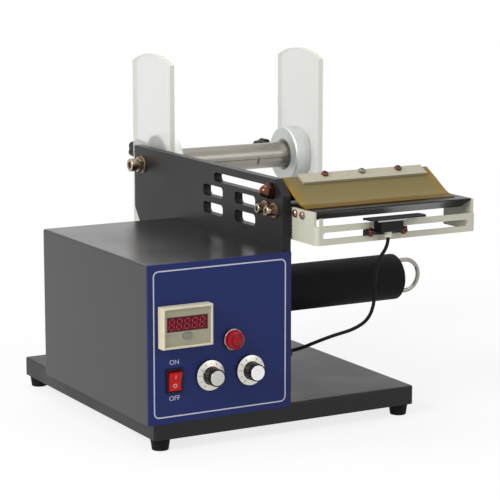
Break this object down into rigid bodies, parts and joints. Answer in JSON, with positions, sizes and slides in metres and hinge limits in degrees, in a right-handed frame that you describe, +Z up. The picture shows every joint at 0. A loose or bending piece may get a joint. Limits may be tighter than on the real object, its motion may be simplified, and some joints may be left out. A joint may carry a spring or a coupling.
{
  "type": "label dispenser",
  "caption": "Bench-top label dispenser: control case on a base tray, side plate with a roll mandrel, peel plate with press sheet and sensor, and a driven liner winder.",
  "frame": {"origin": "on the table under the middle of the machine's box, measured without the sensor's cable", "axes": "+Z up; -Y towards the user, out of the control panel; +X from the control case to the roll side"},
  "size_m": [0.3269, 0.3808, 0.304],
  "materials": {
    "base_paint": "fine satin black powder coat",
    "case_paint": "smooth semi-gloss black powder coat",
    "plate_paint": "satin black powder coat",
    "panel_steel": "satin black",
    "overlay_film": "blue printed film",
    "foot_rubber": "matt moulded rubber",
    "sleeve_rubber": "matt ground rubber",
    "zinc": "turned and zinc plated",
    "satin_steel": "drawn satin tube",
    "drum_aluminium": "turned aluminium",
    "bright_steel": "bright ground bar",
    "polished_steel": "ground and polished",
    "copper_plate": "yellow zinc plated",
    "clear_acrylic": "clear cast acrylic",
    "cream_paint": "gloss cream enamel",
    "amber_film": "translucent amber sheet",
    "black_plastic": "moulded",
    "black_gloss": "moulded, glossy",
    "cable_jacket": "soft jacket",
    "motor_steel": "grey enamel",
    "counter_cream": "light moulded bezel",
    "key_grey": "grey moulded key",
    "red_window": "dark red filter",
    "red_lens": "clear red moulding",
    "red_rocker": "red moulding",
    "chrome_ring": "plated ring",
    "cap_metal": "spun cap",
    "board_green": "laminate with parts",
    "transformer_iron": "varnished laminations"
  },
  "bodies": {
    "machine": {"base_tray": "base_paint", "base_feet": "foot_rubber", "foot_screws": "zinc", "housing_cover": "case_paint", "front_panel": "panel_steel", "panel_overlay": "overlay_film", "side_plate": "plate_paint", "frame_screws": "zinc", "mandrel_tube": "satin_steel", "mandrel_bolt": "zinc", "mandrel_nut": "copper_plate", "peel_plate": "polished_steel", "peel_bracket": "cream_paint", "bracket_screws": "copper_plate", "peel_bolts": "zinc", "peel_bolt_nuts": "copper_plate", "peel_spacers": "zinc", "sensor_cable": "cable_jacket", "cable_bush": "black_plastic", "winder_bush": "zinc", "gearbox": "motor_steel", "gearbox_screws": "black_plastic", "motor": "motor_steel", "counter_case": "counter_cream", "counter_window": "red_window", "lamp_bezel": "chrome_ring", "lamp_lens": "red_lens", "switch_case": "black_gloss", "dial_pots": "motor_steel", "control_board": "board_green", "board_standoffs": "zinc", "transformer": "transformer_iron", "mains_inlet": "black_gloss"},
    "left_flange": {"left_hub": "zinc", "left_arm": "clear_acrylic", "left_arm_screws": "zinc"},
    "left_clamp": {"left_star_knob": "black_plastic"},
    "right_flange": {"right_hub": "zinc", "right_arm": "clear_acrylic", "right_arm_screws": "zinc"},
    "right_clamp": {"right_star_knob": "black_plastic"},
    "press_carriage": {"press_stud": "zinc", "press_dome_nut": "copper_plate"},
    "press_head": {"press_bar": "bright_steel", "press_sheet": "amber_film", "press_strip": "cream_paint", "press_strip_screws": "copper_plate"},
    "sensor": {"sensor_bracket": "polished_steel", "sensor_body": "black_plastic", "sensor_screws": "zinc"},
    "winder": {"winder_shaft": "bright_steel", "winder_drum": "drum_aluminium", "winder_sleeve": "sleeve_rubber"},
    "clip": {"liner_clip": "bright_steel"},
    "rocker": {"power_rocker": "red_rocker"},
    "key": {"counter_key": "key_grey"},
    "left_dial": {"left_dial_knob": "black_gloss", "left_dial_cap": "cap_metal"},
    "right_dial": {"right_dial_knob": "black_gloss", "right_dial_cap": "cap_metal"}
  },
  "joints": [
    {"name": "left_flange_slide", "type": "slide", "parent": "machine", "child": "left_flange", "axis": [1, 0, 0], "range_m": [0, 0.055]},
    {"name": "left_clamp_turn", "type": "hinge", "parent": "left_flange", "child": "left_clamp", "pos_m": [-0.00555, 0.12745, 0.199], "axis": [0, 0.9925, 0.1219], "range_deg": [0, 360]},
    {"name": "right_flange_slide", "type": "slide", "parent": "machine", "child": "right_flange", "axis": [1, 0, 0], "range_m": [-0.06, 0]},
    {"name": "right_clamp_turn", "type": "hinge", "parent": "right_flange", "child": "right_clamp", "pos_m": [0.13505, 0.12745, 0.199], "axis": [0, 1, 0], "range_deg": [0, 360]},
    {"name": "press_bar_slide", "type": "slide", "parent": "machine", "child": "press_carriage", "axis": [0, 1, 0], "range_m": [0, 0.09]},
    {"name": "press_bar_tilt", "type": "hinge", "parent": "press_carriage", "child": "press_head", "pos_m": [0.03655, -0.11865, 0.2047], "axis": [-1, 0, 0], "range_deg": [0, 70]},
    {"name": "sensor_slide", "type": "slide", "parent": "machine", "child": "sensor", "axis": [1, 0, 0], "range_m": [-0.035, 0.02]},
    {"name": "winder_spin", "type": "hinge", "parent": "machine", "child": "winder", "pos_m": [-0.02045, -0.06165, 0.1063], "axis": [1, 0, 0], "continuous": true},
    {"name": "liner_clip_pull", "type": "slide", "parent": "winder", "child": "clip", "axis": [1, 0, 0], "range_m": [0, 0.12]},
    {"name": "power_rocker_throw", "type": "hinge", "parent": "machine", "child": "rocker", "pos_m": [-0.13925, -0.15145, 0.06], "axis": [1, 0, 0], "range_deg": [-16.2, 0]},
    {"name": "counter_key_press", "type": "slide", "parent": "machine", "child": "key", "axis": [0, 1, 0], "range_m": [0, 0.0008], "stiffness_N_per_m": 300},
    {"name": "left_dial_turn", "type": "hinge", "parent": "machine", "child": "left_dial", "pos_m": [-0.10655, -0.15295, 0.061], "axis": [0, 1, 0], "range_deg": [-150, 150]},
    {"name": "right_dial_turn", "type": "hinge", "parent": "machine", "child": "right_dial", "pos_m": [-0.06865, -0.15295, 0.061], "axis": [0, 1, 0], "range_deg": [-150, 150]}
  ]
}
